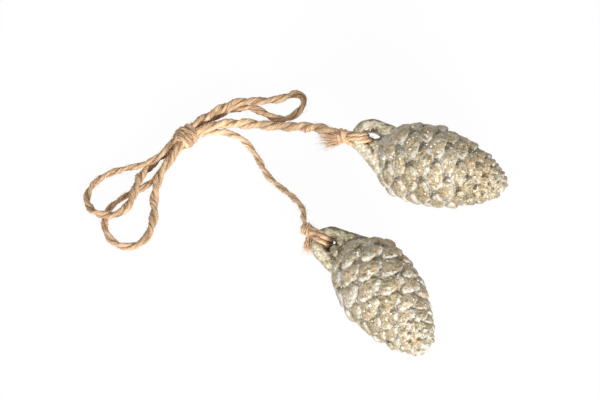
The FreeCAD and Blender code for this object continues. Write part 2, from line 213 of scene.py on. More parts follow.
place_camera()
light_scene()
make_floor()

# The twine's centreline as it lies, from knot to knot, in millimetres.
ROUTES = {
    "twine_upper_tail": [
        (-75.5, 47.5, 5.0), (-72.2, 49.3, 4.6), (-66.7, 52.0, 3.2), (-60.3, 53.1, 1.5),
        (-52.5, 52.6, 1.2), (-45.5, 51.6, 1.8), (-39.8, 50.0, 4.2), (-35.2, 47.8, 7.6),
        (-31.5, 45.4, 10.8), (-28.1, 42.4, 13.9), (-23.5, 40.0, 15.0),
    ],
    "twine_lower_tail": [
        (-75.5, 47.5, 2.5), (-72.5, 49.2, 1.8), (-66.9, 50.0, 1.2), (-60.7, 48.2, 1.2),
        (-56.3, 44.0, 1.2), (-53.1, 38.2, 1.2), (-50.3, 31.5, 1.2), (-45.5, 26.6, 1.6),
        (-40.8, 21.1, 4.2), (-37.8, 14.9, 8.4), (-37.0, 9.4, 13.2), (-37.4, 4.8, 16.4),
        (-35.7, 0.5, 17.2),
    ],
    "twine_left_loop": [
        (-82.0, 45.3, 5.0), (-85.5, 40.4, 4.6), (-90.2, 35.8, 4.1), (-96.1, 34.0, 3.6),
        (-102.5, 33.8, 1.6), (-108.1, 31.6, 1.2), (-112.4, 27.5, 1.2), (-114.2, 22.3, 1.3),
        (-112.8, 17.3, 2.3), (-109.0, 14.1, 3.7), (-104.0, 13.7, 3.8), (-99.8, 16.3, 3.8),
        (-97.6, 20.9, 3.8), (-96.3, 26.4, 3.8), (-94.9, 31.1, 1.9), (-92.4, 35.2, 1.2),
        (-89.4, 38.1, 1.2), (-85.5, 41.6, 1.5), (-82.0, 45.3, 2.5),
    ],
    "twine_lower_loop": [
        (-80.3, 43.4, 5.0), (-83.2, 38.4, 4.6), (-86.7, 33.1, 4.0), (-88.6, 29.0, 3.7),
        (-89.7, 24.8, 2.2), (-90.1, 20.8, 1.2), (-89.8, 15.7, 1.2), (-90.7, 10.5, 1.2),
        (-92.4, 5.8, 1.2), (-96.1, 2.8, 1.2), (-101.0, 2.5, 1.2), (-105.1, 5.2, 1.2),
        (-107.2, 9.6, 1.2), (-107.4, 14.4, 1.2), (-105.7, 18.6, 1.2), (-102.1, 21.8, 1.2),
        (-98.2, 24.5, 1.2), (-93.8, 26.7, 1.2), (-89.9, 30.1, 1.2), (-86.9, 34.3, 1.2),
        (-83.5, 39.1, 1.5), (-80.3, 43.4, 2.5),
    ],
    "twine_right_loop": [
        (-77.1, 49.4, 5.0), (-73.8, 52.3, 4.8), (-69.0, 56.2, 4.2), (-63.4, 59.8, 3.8),
        (-57.1, 61.1, 3.8), (-51.1, 61.9, 2.4), (-46.2, 63.3, 1.3), (-43.0, 64.5, 1.2),
        (-40.1, 66.0, 1.2), (-37.3, 64.6, 1.2), (-37.0, 61.4, 1.2), (-38.5, 58.5, 1.2),
        (-40.8, 56.1, 1.2), (-44.1, 54.8, 1.2), (-48.0, 55.4, 1.2), (-51.4, 57.8, 1.2),
        (-55.9, 60.1, 1.2), (-60.8, 60.0, 1.2), (-66.2, 57.9, 1.2), (-72.0, 53.8, 1.3),
        (-77.1, 49.4, 2.5),
    ],
}

# Twine: two plies laid left-handed. The fibres on each ply wind the same way, on a shorter pitch.
PLY_RADIUS = 0.88 * MM
PLY_OFFSET = 0.52 * MM
PLY_PITCH = 15 * MM
FIBRE_PITCH = 9 * MM
RING_STEP = 0.28 * MM
RING_SIDES = 20
FLOOR_GAP = 0.03 * MM
LINE_DETAIL = 24


def smooth_line(points):
    """The smooth line that points in millimetres control, as Blender's own spline draws it."""
    curve = bpy.data.curves.new("line", "CURVE")
    curve.dimensions = "3D"
    curve.resolution_u = LINE_DETAIL
    spline = curve.splines.new("NURBS")
    spline.points.add(len(points) - 1)
    for control, point in zip(spline.points, points):
        control.co = (*(Vector(point) * MM), 1)
    spline.order_u = 3
    spline.use_endpoint_u = True
    holder = bpy.data.objects.new("line", curve)
    drawn = bpy.data.meshes.new_from_object(holder)
    line = [vertex.co.copy() for vertex in drawn.vertices]
    bpy.data.objects.remove(holder)
    bpy.data.curves.remove(curve)
    bpy.data.meshes.remove(drawn)
    return line


def line_length(line):
    return sum((b - a).length for a, b in zip(line, line[1:]))


def even_points(line, step):
    """Points at even steps along a line, and the length of the steps."""
    total = line_length(line)
    count = max(round(total / step), 4)
    points = []
    travelled = 0.0
    index = 0
    for number in range(count + 1):
        wanted = total * number / count
        while index < len(line) - 2 and travelled + (line[index + 1] - line[index]).length < wanted:
            travelled += (line[index + 1] - line[index]).length
            index += 1
        run = line[index + 1] - line[index]
        share = (wanted - travelled) / max(run.length, 1e-9)
        points.append(line[index] + run * min(share, 1.0))
    return points, total / count


def frames_along(points):
    """A tangent and two sideways directions at each point, carried along without spinning."""
    frames = []
    side = None
    for index in range(len(points)):
        before = points[max(index - 1, 0)]
        after = points[min(index + 1, len(points) - 1)]
        tangent = (after - before).normalized()
        if side is None:
            side = tangent.cross(UP)
            if side.length < 0.1:
                side = tangent.cross(Vector((1, 0, 0)))
        side = (side - tangent * side.dot(tangent)).normalized()
        frames.append((tangent, side, tangent.cross(side)))
    return frames


def around(side, rise, angle):
    """The direction at an angle from side towards rise."""
    return side * math.cos(angle) + rise * math.sin(angle)


def flat(angle):
    """The direction at an angle in the plane of x and y."""
    return Vector((math.cos(angle), math.sin(angle), 0))


def ring_angles(sides):
    return [FULL_TURN * corner / sides for corner in range(sides)]


def tube_faces(start, rows, sides):
    """Faces of a closed tube of rings, whose first vertex has the number start."""
    faces = []
    for row in range(rows - 1):
        for side in range(sides):
            a = start + row * sides + side
            b = start + row * sides + (side + 1) % sides
            faces.append((a, b, b + sides, a + sides))
    last = start + (rows - 1) * sides
    faces.append(tuple(start + side for side in reversed(range(sides))))
    faces.append(tuple(last + side for side in range(sides)))
    return faces


def add_attribute(mesh, label, values, kind="FLOAT", field="value"):
    """A value for each vertex, by the name that the materials read."""
    mesh.attributes.new(label, kind, "POINT").data.foreach_set(field, values)


def place_piece(mesh, material, node):
    """A mesh as a smooth piece of the same name, in place of its CAD node."""
    mesh.polygons.foreach_set("use_smooth", [True] * len(mesh.polygons))
    mesh.materials.append(material)
    piece = new_object(mesh.name, mesh)
    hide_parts(node)
    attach(piece, BODY)
    return piece


class Strands:
    """Collects the tubes of a piece of twine and the place of each vertex along and round its ply."""

    def __init__(self, seed, tone):
        self.chance = random.Random(seed)
        self.tone = tone
        self.vertices = []
        self.faces = []
        self.grain = []
        self.shade = []
        self.tones = []

    def tube(self, rings, grain, shade, paler=0.0):
        """Joins rings of points into a closed tube."""
        self.faces += tube_faces(len(self.vertices), len(rings), len(rings[0]))
        for ring in rings:
            self.vertices += ring
        self.grain += grain
        self.shade += shade
        self.tones += [self.tone + paler] * len(shade)

    def finish(self, node):
        """The collected tubes as one piece of jute in place of their CAD node."""
        mesh = bpy.data.meshes.new(f"{node}_strands")
        mesh.from_pydata(self.vertices, [], self.faces)
        grain = [value for row in self.grain for value in row]
        add_attribute(mesh, "grain", grain, "FLOAT_VECTOR", "vector")
        add_attribute(mesh, "shade", self.shade)
        add_attribute(mesh, "tone", self.tones)
        return place_piece(mesh, jute, node)


# Unevenness of the plies, as shares of their offset or radius, and the length of its waves.
WANDER = 0.35
WANDER_LENGTH = 5 * MM
LUMP = 0.16
LUMP_LENGTH = 3 * MM
RIDGE = 0.26
RIDGE_LENGTH = 3.4 * MM
RIDGES_ROUND = 1.8
RIDGE_DETAIL = 2.3
TAPERED_WIDTH = 0.35


def lay_plies(strands, line, width, phase, taper=0.0):
    """Twists two plies round a line. width is a share of the full one, or a function of the place
    along it. The ends get thinner over the length taper."""
    points, step = even_points(line, RING_STEP)
    frames = frames_along(points)
    total = step * (len(points) - 1)
    seed = strands.chance.uniform(0, 100)
    for ply in range(2):
        rings = []
        grain = []
        shade = []
        for index, (point, (_, side, rise)) in enumerate(zip(points, frames)):
            along = index * step
            share = width(along / total) if callable(width) else width
            for to_end in (along, total - along):
                if to_end < taper:
                    share *= TAPERED_WIDTH + (1 - TAPERED_WIDTH) * to_end / taper
            turn = phase - FULL_TURN * along / PLY_PITCH + math.pi * ply
            wander = noise.noise(Vector((along / WANDER_LENGTH, seed, ply)))
            centre = point + around(side, rise, turn) * (PLY_OFFSET * share * (1 + WANDER * wander))
            lump = noise.noise(Vector((along / LUMP_LENGTH, seed * 2, ply * 5))) * LUMP
            ring = []
            for angle in ring_angles(RING_SIDES):
                fibre = angle + FULL_TURN * along / FIBRE_PITCH
                x = math.cos(fibre)
                y = math.sin(fibre)
                place = Vector((x * RIDGES_ROUND, y * RIDGES_ROUND, along / RIDGE_LENGTH + seed))
                ridge = noise.noise(place) * RIDGE
                ridge += noise.noise(place * RIDGE_DETAIL) * RIDGE
                radius = PLY_RADIUS * share * (1 + ridge + lump)
                spot = centre + around(side, rise, angle) * radius
                spot.z = max(spot.z, FLOOR_GAP)
                ring.append(tuple(spot))
                grain.append((x, y, along / MM + seed + ply * 40))
                # Painted shade: each ring is darker on the side of its ply that faces the other ply.
                shade.append(0.5 + 0.5 * math.cos(angle - turn))
            rings.append(ring)
        strands.tube(rings, grain, shade)


# Loose fibres. Those along the twine keep within HAIR_REACH of its centreline.
HAIR_RADIUS = 0.04 * MM
HAIR_SIDES = 3
HAIR_STEPS = 7
HAIR_THINNING = 0.7
HAIR_REACH = 2.1 * MM
# Painted light: loose fibres are painted paler, to make up for the shade they cast on each other.
HAIR_PALER = 0.12
HAIRS_PER_MM = 4.4
FUZZ_CURL = 0.6
FUZZ_LENGTHS = (0.8, 3.2)
FUZZ_ROOTS = (0.9, 1.4)
FUZZ_LIFT = (0.05, 0.7)


def hair(strands, start, direction, length, radius, curl, axis=None):
    """One loose fibre: a thin tube that wanders off from start, and bends back near the axis if given."""
    chance = strands.chance
    heading = direction.normalized()
    drift = Vector([chance.uniform(-1, 1) for _ in range(3)])
    point = start.copy()
    points = [point.copy()]
    for _ in range(HAIR_STEPS):
        drift = (drift + Vector([chance.uniform(-0.6, 0.6) for _ in range(3)])).normalized()
        heading = (heading + drift * curl / HAIR_STEPS).normalized()
        point = point + heading * (length / HAIR_STEPS)
        if axis is not None:
            away = point - axis[0]
            away -= axis[1] * away.dot(axis[1])
            if away.length > HAIR_REACH:
                point -= away.normalized() * (away.length - HAIR_REACH)
        point.z = max(point.z, FLOOR_GAP + radius)
        points.append(point.copy())
    rings = []
    for index, (spot, (_, side, rise)) in enumerate(zip(points, frames_along(points))):
        thin = radius * (1 - HAIR_THINNING * index / HAIR_STEPS)
        rings.append([tuple(spot + around(side, rise, angle) * thin) for angle in ring_angles(HAIR_SIDES)])
    place = (0.3, 0.2, chance.uniform(0, 60))
    count = len(rings) * HAIR_SIDES
    # Painted light: the fibre's tone is raised against the shade among the fibres.
    strands.tube(rings, [place] * count, [chance.uniform(0.75, 1.0)] * count, HAIR_PALER)


def fuzz(strands, line, density=1.0):
    """Loose fibres that stand a little off the twine all along it."""
    chance = strands.chance
    points, _ = even_points(line, MM)
    frames = frames_along(points)
    for _ in range(int(line_length(line) / MM * HAIRS_PER_MM * density)):
        index = chance.randrange(len(points))
        tangent, side, rise = frames[index]
        out = around(side, rise, chance.uniform(0, FULL_TURN))
        start = points[index] + out * PLY_RADIUS * chance.uniform(*FUZZ_ROOTS)
        way = tangent * chance.choice((-1, 1)) + out * chance.uniform(*FUZZ_LIFT)
        length = chance.uniform(*FUZZ_LENGTHS) * MM
        hair(strands, start, way, length, HAIR_RADIUS, FUZZ_CURL, (points[index], tangent))


JUTE_DARK = (0.15, 0.08, 0.034)
JUTE_MID = (0.56, 0.37, 0.215)
JUTE_PALE = (0.87, 0.67, 0.47)
STREAK_SCALE = (2.6, 2.6, 0.28)
PATCH_SCALE = (0.4, 0.4, 0.16)
PATCH_DARK = (0.78, 0.7, 0.62)
PATCH_PALE = (1.12, 1.08, 1.02)
JUTE_BUMP = 0.16 * MM


def make_jute():
    """Jute: tan fibres in streaks, with painted shade between the plies."""
    net = Net(bpy.data.materials.new("jute"))
    grain = net.attribute("grain", "Vector")
    tone = net.attribute("tone")
    streak_place = net.add("ShaderNodeMapping", {"Vector": grain, "Scale": STREAK_SCALE})
    streak = net.noise(streak_place, 1.0, 5.0, 0.68)
    streak_level = net.math("SUBTRACT", net.total(streak, (tone, 0.3)), 0.3)
    colour = net.ramp(streak_level, [(0.36, JUTE_DARK), (0.48, JUTE_MID), (0.64, JUTE_PALE)])
    patch_place = net.add("ShaderNodeMapping", {"Vector": grain, "Scale": PATCH_SCALE})
    patch = net.ramp(net.noise(patch_place, 1.0, 2.0), [(0.3, PATCH_DARK), (0.7, PATCH_PALE)])
    # Painted shade: the shade mark darkens each ply towards the other ply.
    groove = net.ramp(net.attribute("shade"), [(0.0, 0.2), (0.35, 0.75), (0.75, 1.0)])
    for layer in (patch, groove, tone):
        colour = net.blend(1.0, colour, layer, "MULTIPLY")
    bump = net.add("ShaderNodeBump", {"Strength": 0.7, "Distance": JUTE_BUMP, "Height": streak})
    net.fill(net.nodes["Principled BSDF"], {
        "Base Color": colour,
        "Roughness": 0.72,
        "Specular IOR Level": 0.3,
        "Sheen Weight": 0.25,
        "Sheen Roughness": 0.4,
        "Normal": bump,
    })
    return net.owner


jute = make_jute()

# How light each stretch is, and its thickness at even places from its first point, as shares of the full
# diameter. The stretches towards the cones are painted paler, as painted light.
STRETCHES = {
    "twine_upper_tail": (1.19, (1.1, 1.22, 1.33, 1.28, 1.22, 1.28, 1.38, 1.15)),
    "twine_lower_tail": (1.22, (1.0, 0.92, 0.82, 0.78, 0.82, 0.78, 0.7, 0.72)),
    "twine_left_loop": (1.07, (1.0, 0.85, 0.8, 0.92, 1.05, 1.1, 1.15, 1.1)),
    "twine_lower_loop": (1.07, (1.1, 1.2, 1.18, 1.0, 0.88, 0.78, 0.8, 0.95)),
    "twine_right_loop": (1.1, (1.1, 1.15, 1.05, 1.0, 0.95, 1.0, 1.05, 1.0)),
}
FIRST_TWINE_SEED = 11


def make_twine(name, seed):
    """One stretch of the twine, from the bow's knot outwards, and its centreline."""
    tone, widths = STRETCHES[name]
    places = np.linspace(0, 1, len(widths))
    line = smooth_line(ROUTES[name])
    strands = Strands(seed, tone)
    phase = strands.chance.uniform(0, 6)
    lay_plies(strands, line, lambda place: float(np.interp(place, places, widths)), phase)
    fuzz(strands, line)
    return strands.finish(name), line


twines = {name: make_twine(name, seed) for seed, name in enumerate(ROUTES, FIRST_TWINE_SEED)}

# Cone: the same profile, spiral and sizes as the CAD model's, in millimetres.
TIP_STATION = 46.0
NOSE_LENGTH = 2.2
BELT_STATION = 12.0
BELT_RADIUS = 12.5
SHOULDER_STATION = -4.0
SHOULDER_RADIUS = 5.5
NECK_STATION = -7.3
NECK_RADIUS = 4.6
TAPER_POWER = 1.4
PROFILE_POINTS = 601
SCALE_COUNT = 94
SCALE_PITCH = 0.66
SCALE_RELIEF = 2.2
RELIEF_RANGE = (0.85, 1.15)
LEAN_LIMIT = 0.03
UNEVEN_SEED = 5
GOLDEN_ANGLE = math.pi * (3 - math.sqrt(5))
LEFT_STEP = 5
RIGHT_STEP = 8
STEP_SUM = LEFT_STEP + RIGHT_STEP
LEFT_TURN = LEFT_STEP * GOLDEN_ANGLE - 2 * FULL_TURN
RIGHT_TURN = RIGHT_STEP * GOLDEN_ANGLE - 3 * FULL_TURN

# Where each cone lies: its shoulder point in millimetres, and its heading, pitch and roll in degrees.
CONES = {
    "upper_cone": ((-4.775, 31.753, 14.654), (-17.0, 0.516, 4.46)),
    "lower_cone": ((-18.066, -11.467, 15.52), (-55.6, 4.738, 180.5)),
}


def laid_matrix(name):
    """Places the cone's own frame, in millimetres, where it lies."""
    place, angles = CONES[name]
    turn = Matrix.Identity(4)
    for degrees, axis in zip(angles, "ZYX"):
        turn = turn @ Matrix.Rotation(math.radians(degrees), 4, axis)
    return Matrix.Translation(place) @ turn


def core_profile():
    """Columns of the core's profile: scale number, station, radius and outward normal."""
    steps = np.linspace(0, math.pi, PROFILE_POINTS)
    station = SHOULDER_STATION + (TIP_STATION - SHOULDER_STATION) * (1 - np.cos(steps)) / 2
    back = np.clip((BELT_STATION - station) / (BELT_STATION - SHOULDER_STATION), 0, 1)
    front = np.clip((station - BELT_STATION) / (TIP_STATION - BELT_STATION), 0, 1)
    shoulder = SHOULDER_RADIUS + (BELT_RADIUS - SHOULDER_RADIUS) * np.sqrt(1 - back * back)
    taper = BELT_RADIUS * (1 - front * front) ** TAPER_POWER
    radius = np.where(station < BELT_STATION, shoulder, taper)
    travel = np.hypot(np.diff(station), np.diff(radius))
    middle = (radius[1:] + radius[:-1]) / 2
    count = np.concatenate([[0], np.cumsum(travel * BELT_RADIUS / (SCALE_PITCH * middle))])
    number = count - STEP_SUM / 2
    normal_x = -np.diff(radius) / travel
    normal_r = np.diff(station) / travel
    return number, station, radius, np.append(normal_x, normal_x[-1]), np.append(normal_r, normal_r[-1])


PROFILE = core_profile()


def lattice_points(scale, left, right, height):
    """Points over the surface at lattice places left and right of a scale, height above the core."""
    number = scale + LEFT_STEP * left + RIGHT_STEP * right
    station, radius, normal_x, normal_r = (np.interp(number, PROFILE[0], column) for column in PROFILE[1:])
    turn = scale * GOLDEN_ANGLE + left * LEFT_TURN + right * RIGHT_TURN
    height = height * np.minimum(radius / (BELT_RADIUS / 2), 1.0)
    station = station + height * normal_x
    radius = radius + height * normal_r
    return np.stack([station, radius * np.cos(turn), radius * np.sin(turn)], axis=-1)


# Form of a scale: lengths are shares of its side, heights are shares of its relief.
PAD_STEPS = 13
LIP_STEPS = 7
PATCH_STEPS = PAD_STEPS + LIP_STEPS
SCALE_OVERHANG = 0.1
LIP_ROLL = 0.04
BLUNTNESS = 0.42
CROWN = 2.0
DROOP = 0.38
RIM_HEIGHT = 0.05
KEEL_HEIGHT = 0.07
KEEL_WIDTH = 0.08
DENT_DEPTH = 0.2

# The relief is stronger on the side away from the eye, and weaker at the neck.
LOPSIDED = 0.18
NECK_RELIEF = 0.6
NECK_RECESS = 0.3
NOSE_STATION = float(np.interp(SCALE_COUNT - 1 + STEP_SUM / 2, PROFILE[0], PROFILE[1]))


def smooth_step(low, high, value):
    share = np.clip((value - low) / (high - low), 0, 1)
    return share * share * (3 - 2 * share)


def patch_curves():
    """Along one side of a scale: place on the base, place when raised, and share of full height."""
    base = np.linspace(-0.5, 0.5, PATCH_STEPS + 1)
    lip = 0.5 + SCALE_OVERHANG
    raised = np.linspace(-0.5, lip - LIP_ROLL, PAD_STEPS + 1)
    roll = np.linspace(0, 1, LIP_STEPS + 1)[1:]
    over = lip - LIP_ROLL + LIP_ROLL * np.sin(np.minimum(roll * 2.2, 1.0) * math.pi / 2)
    over = over - SCALE_OVERHANG * smooth_step(0.45, 1.0, roll)
    height = np.concatenate([np.ones(PAD_STEPS + 1), 1 - smooth_step(0.0, 1.0, roll) ** 1.2])
    return base, np.concatenate([raised, over]), height


def scale_patch(scale, relief, lean, chance):
    """Grid of points over one scale, with how far each is towards the free edge and into the recess."""
    base, raised, fall = patch_curves()
    a = np.repeat(base[:, None], PATCH_STEPS + 1, axis=1)
    b = a.T
    reach = np.repeat(raised[:, None], PATCH_STEPS + 1, axis=1)
    window = smooth_step(-0.5, -0.34, base) * (1 - smooth_step(0.45, 0.5, base))
    both = window[None, :] * window[:, None]
    left = a + (reach - a) * window[None, :]
    right = b + (reach.T - b) * window[:, None]
    blunt = np.clip(left + right - 0.6, 0, 1) ** 1.3 * BLUNTNESS
    left = left + (lean - blunt) * both
    right = right - (lean + blunt) * both
    forward = (left + right) / 2
    across = (left - right) / 2
    rise = 0.2 + 0.8 * smooth_step(-0.5, 0.15, forward)
    crown = 1 - CROWN * across ** 2 - DROOP * smooth_step(0.15, 0.6, forward)
    rim = RIM_HEIGHT * smooth_step(0.34, 0.5, np.maximum(left, right))
    keel = KEEL_HEIGHT * np.exp(-(across / KEEL_WIDTH) ** 2) * smooth_step(-0.2, 0.3, forward)
    dent = -DENT_DEPTH * np.exp(-((forward - 0.1) ** 2 + across ** 2) / 0.02) * chance.uniform(0.0, 1.2)
    start = smooth_step(-0.5, -0.4, a) * smooth_step(-0.5, -0.4, b)
    height = relief * (rise * crown + rim + keel + dent) * start * fall[:, None] * fall[None, :]
    points = lattice_points(scale, left, right, height)
    lip = smooth_step(0.34, 0.56, np.maximum(left, right)) * start
    recess = 1 - smooth_step(0.05, 0.6, height / relief)
    return points, lip, recess


# Eye, in its casting's frame and in millimetres. Its straight leg slopes a little to the body.
EYE_REACH = 17.2
EYE_BAR = 4.8
EYE_BEND_RADIUS = 4.6
EYE_SIDE_SHIFT = 4.4
EYE_CENTRE = Vector((-(EYE_REACH - EYE_BEND_RADIUS - EYE_BAR / 2), EYE_SIDE_SHIFT, 0))
EYE_ROOT_STATION = 3.9
EYE_LEG_SLOPE = 1.8
EYE_FLANK_ANGLE = math.radians(36)
EYE_ROOT_LENGTH = 18.5
EYE_SWELL = 0.22
EYE_COAT = 0.15
EYE_DENTS = ((0.45, 0.22), (1.1, 0.1))
EYE_MARK = (0.0, 0.0, -1.0)
EYE_SIDES = 28
EYE_STEP = 0.4
ARCH_STEPS = 24

# Webs in the eye's corners: first end, far end and radius. The lower cone's hole is cast nearly shut.
EYE_WEBS = [
    ((-3.0, 0.6, 0), (-11.2, 1.1, 0), 2.2),
    ((-3.0, 2.6, 0), (-9.6, 2.3, 0), 2.3),
    ((-2.0, 5.2, 0), (-7.4, 5.5, 0), 1.7),
]
SHUT_WEBS = [((-3.0, 4.4, 0), (-10.4, 4.5, 0), 2.4)]
CAST_WEBS = {"upper_cone": EYE_WEBS, "lower_cone": EYE_WEBS + SHUT_WEBS}

# Lobes round the tip: how far they reach behind and before the nose, and off the axis at both ends.
# Each next one is further forward and nearer the axis.
NOSE_LOBES = 5
LOBE_RADIUS = 1.9
LOBE_BEHIND = 5.0
LOBE_BEFORE = 1.3
LOBE_ROOT = 1.2
LOBE_SPREAD = 2.0
LOBE_CLOSING = 0.25
LOBE_ADVANCE = 0.4
LUMP_DENTS = ((0.5, 0.3),)
LUMP_ROWS = 16


def eye_path():
    """Centreline of the eye: a nearly straight leg, the arch, and a leg that slopes away."""
    top = EYE_CENTRE + Vector((0, EYE_BEND_RADIUS, 0))
    bottom_angle = 1.5 * math.pi - EYE_FLANK_ANGLE
    points = [Vector((EYE_ROOT_STATION, top.y - EYE_LEG_SLOPE, 0)), top]
    for step in range(1, ARCH_STEPS + 1):
        angle = math.pi / 2 + (bottom_angle - math.pi / 2) * step / ARCH_STEPS
        points.append(EYE_CENTRE + flat(angle) * EYE_BEND_RADIUS)
    points.append(points[-1] + flat(-EYE_FLANK_ANGLE) * EYE_ROOT_LENGTH)
    return points


class Shell:
    """Collects surfaces of a casting in its own frame, in millimetres. A vertex's mark says how far it
    is on a free edge and in a recess, and its scale's tint, which is -1 on the eye."""

    def __init__(self):
        self.vertices = []
        self.faces = []
        self.marks = []

    def mesh(self, name):
        mesh = bpy.data.meshes.new(name)
        mesh.from_pydata(self.vertices, [], self.faces)
        return mesh

    def scales(self):
        """All scales of a cone, as one skin that is open at both ends."""
        uneven = random.Random(UNEVEN_SEED)
        chance = random.Random(UNEVEN_SEED + 1)
        side = PATCH_STEPS + 1
        for scale in range(SCALE_COUNT):
            off_neck = float(smooth_step(0, STEP_SUM, scale))
            relief = SCALE_RELIEF * uneven.uniform(*RELIEF_RANGE)
            relief *= NECK_RELIEF + (1 - NECK_RELIEF) * off_neck
            relief *= 1 - LOPSIDED * math.cos(scale * GOLDEN_ANGLE)
            lean = uneven.uniform(-LEAN_LIMIT, LEAN_LIMIT)
            points, lip, recess = scale_patch(scale, relief, lean, chance)
            recess = recess * (NECK_RECESS + (1 - NECK_RECESS) * off_neck)
            tint = chance.random()
            start = len(self.vertices)
            self.vertices += [tuple(point) for point in points.reshape(-1, 3)]
            self.marks += [(edge, depth, tint) for edge, depth in zip(lip.ravel(), recess.ravel())]
            for row in range(PATCH_STEPS):
                for column in range(PATCH_STEPS):
                    corner = start + row * side + column
                    self.faces.append((corner, corner + 1, corner + side + 1, corner + side))

    def bar(self, rows, dents, mark):
        """A closed bar from rows of point, side, rise and radius, dented by noise."""
        self.faces += tube_faces(len(self.vertices), len(rows), EYE_SIDES)
        for point, side, rise, radius in rows:
            for angle in ring_angles(EYE_SIDES):
                out = around(side, rise, angle)
                dent = sum(noise.noise((point + out * 2) * rate) * depth for rate, depth in dents)
                self.vertices.append(tuple(point + out * (radius + dent)))
                self.marks.append(mark)

    def eye(self):
        """The eye as a round, slightly hammered bar that swells where it runs into the body."""
        points, _ = even_points(eye_path(), EYE_STEP)
        rows = []
        for point, (_, side, rise) in zip(points, frames_along(points)):
            swell = 1.0
            if point.y < EYE_SIDE_SHIFT:
                swell += EYE_SWELL * float(smooth_step(-7.0, 1.0, point.x))
            rows.append((point, side, rise, EYE_BAR / 2 * swell + EYE_COAT))
        self.bar(rows, EYE_DENTS, EYE_MARK)

    def lump(self, inner, outer, radius, mark):
        """A bar with a rounded far end."""
        along = (outer - inner).normalized()
        side = along.cross(UP).normalized()
        rise = along.cross(side)
        rows = []
        for row in range(LUMP_ROWS + 1):
            point = inner + (outer - inner) * (row / LUMP_ROWS)
            left = (outer - point).length / radius
            size = radius * math.sqrt(max(1 - max(1 - left, 0) ** 2, 0.01))
            rows.append((point, side, rise, size))
        self.bar(rows, LUMP_DENTS, mark)

    def lumps(self, webs):
        """The webs in the corners of the eye's hole, and the last small scales round the tip."""
        for inner, outer, radius in webs:
            self.lump(Vector(inner), Vector(outer), radius, EYE_MARK)
        for number in range(NOSE_LOBES):
            turn = number * GOLDEN_ANGLE
            way = Vector((0, math.cos(turn), math.sin(turn)))
            reach = NOSE_STATION + LOBE_ADVANCE * number / NOSE_LOBES
            root = Vector((NOSE_STATION - LOBE_BEHIND, 0, 0)) + way * LOBE_ROOT
            tip = Vector((reach + LOBE_BEFORE, 0, 0)) + way * (LOBE_SPREAD - LOBE_CLOSING * number)
            self.lump(root, tip, LOBE_RADIUS, (0.7, 0.2, 0.2 * number))


# How the parts of a casting are run together, in millimetres.
WELD = 1e-4
VOXEL = 0.28
SMOOTH_FACTOR = 0.5
SMOOTH_TURNS = 3
NEAREST = 3
NEAREST_SOFTNESS = 0.05

# The middle of the nose and of the neck, and their marks.
END_PLACES = [(42.0, 0.0, 0.0), (NECK_STATION, 0.0, 0.0)]
END_MARKS = [(1.0, 0.0, 0.5), (0.0, 0.0, 0.5)]


def close_ends(mesh):
    """Closes the skin of scales with the neck's ring and disc at the back and the nose in front."""
    skin = bmesh.new()
    skin.from_mesh(mesh)
    bmesh.ops.remove_doubles(skin, verts=skin.verts, dist=WELD)
    rims = [edge for edge in skin.edges if edge.is_boundary]
    nose = skin.verts.new((NOSE_STATION + NOSE_LENGTH, 0, 0))
    hub = skin.verts.new((NECK_STATION, 0, 0))
    ring = {}
    for edge in rims:
        first, second = edge.verts
        if first.co.x > BELT_STATION:
            skin.faces.new((first, second, nose))
            continue
        for vertex in (first, second):
            if vertex not in ring:
                angle = math.atan2(vertex.co.z, vertex.co.y)
                spot = (NECK_STATION, NECK_RADIUS * math.cos(angle), NECK_RADIUS * math.sin(angle))
                ring[vertex] = skin.verts.new(spot)
        skin.faces.new((first, second, ring[second], ring[first]))
        skin.faces.new((ring[first], ring[second], hub))
    bmesh.ops.recalc_face_normals(skin, faces=skin.faces)
    skin.to_mesh(mesh)
    skin.free()


def run_together(meshes):
    """One softened skin round all the meshes, which are used up."""
    joined = bpy.data.meshes.new("casting_rough")
    all_parts = bmesh.new()
    for mesh in meshes:
        all_parts.from_mesh(mesh)
        bpy.data.meshes.remove(mesh)
    all_parts.to_mesh(joined)
    all_parts.free()
    holder = new_object("casting_rough", joined)
    remesh = holder.modifiers.new("run_together", "REMESH")
    remesh.mode = "VOXEL"
    remesh.voxel_size = VOXEL
    smooth = holder.modifiers.new("soften", "SMOOTH")
    smooth.factor = SMOOTH_FACTOR
    smooth.iterations = SMOOTH_TURNS
    evaluated = holder.evaluated_get(bpy.context.evaluated_depsgraph_get())
    cast = bpy.data.meshes.new_from_object(evaluated)
    bpy.data.objects.remove(holder)
    bpy.data.meshes.remove(joined)
    return cast


def marks_from(cast, vertices, marks):
    """Marks of the cast's vertices: edge and recess blended from the nearest ones, tint from one."""
    tree = kdtree.KDTree(len(vertices))
    for index, spot in enumerate(vertices):
        tree.insert(spot, index)
    tree.balance()
    cast_marks = []
    for vertex in cast.vertices:
        near = tree.find_n(vertex.co, NEAREST)
        weights = [1 / (distance + NEAREST_SOFTNESS) for _, _, distance in near]
        rows = [marks[index] for _, index, _ in near]
        total = sum(weights)
        lip, recess = (sum(w * row[k] for w, row in zip(weights, rows)) / total for k in (0, 1))
        cast_marks.append((lip, recess, rows[0][2]))
    return cast_marks


def cast_body(webs):
    """The whole casting in its own frame: scales and eye run together, and its marks by vertex."""
    body = Shell()
    body.scales()
    skin = body.mesh("scales_rough")
    close_ends(skin)
    fittings = Shell()
    fittings.eye()
    fittings.lumps(webs)
    cast = run_together([skin, fittings.mesh("eye_rough")])
    vertices = body.vertices + END_PLACES + fittings.vertices
    return cast, marks_from(cast, vertices, body.marks + END_MARKS + fittings.marks)


# Roughness of the casting: waves by length and depth, and creases, in millimetres.
CAST_ROUGHNESS = ((3.2, 0.3), (1.3, 0.14), (0.55, 0.1))
CREASE_LENGTH = 1.5
CREASE_DEPTH = 0.42
CREASE_LEVEL = 0.2
CREASE_WIDTH = 0.22
EYE_ROUGHNESS = 0.35


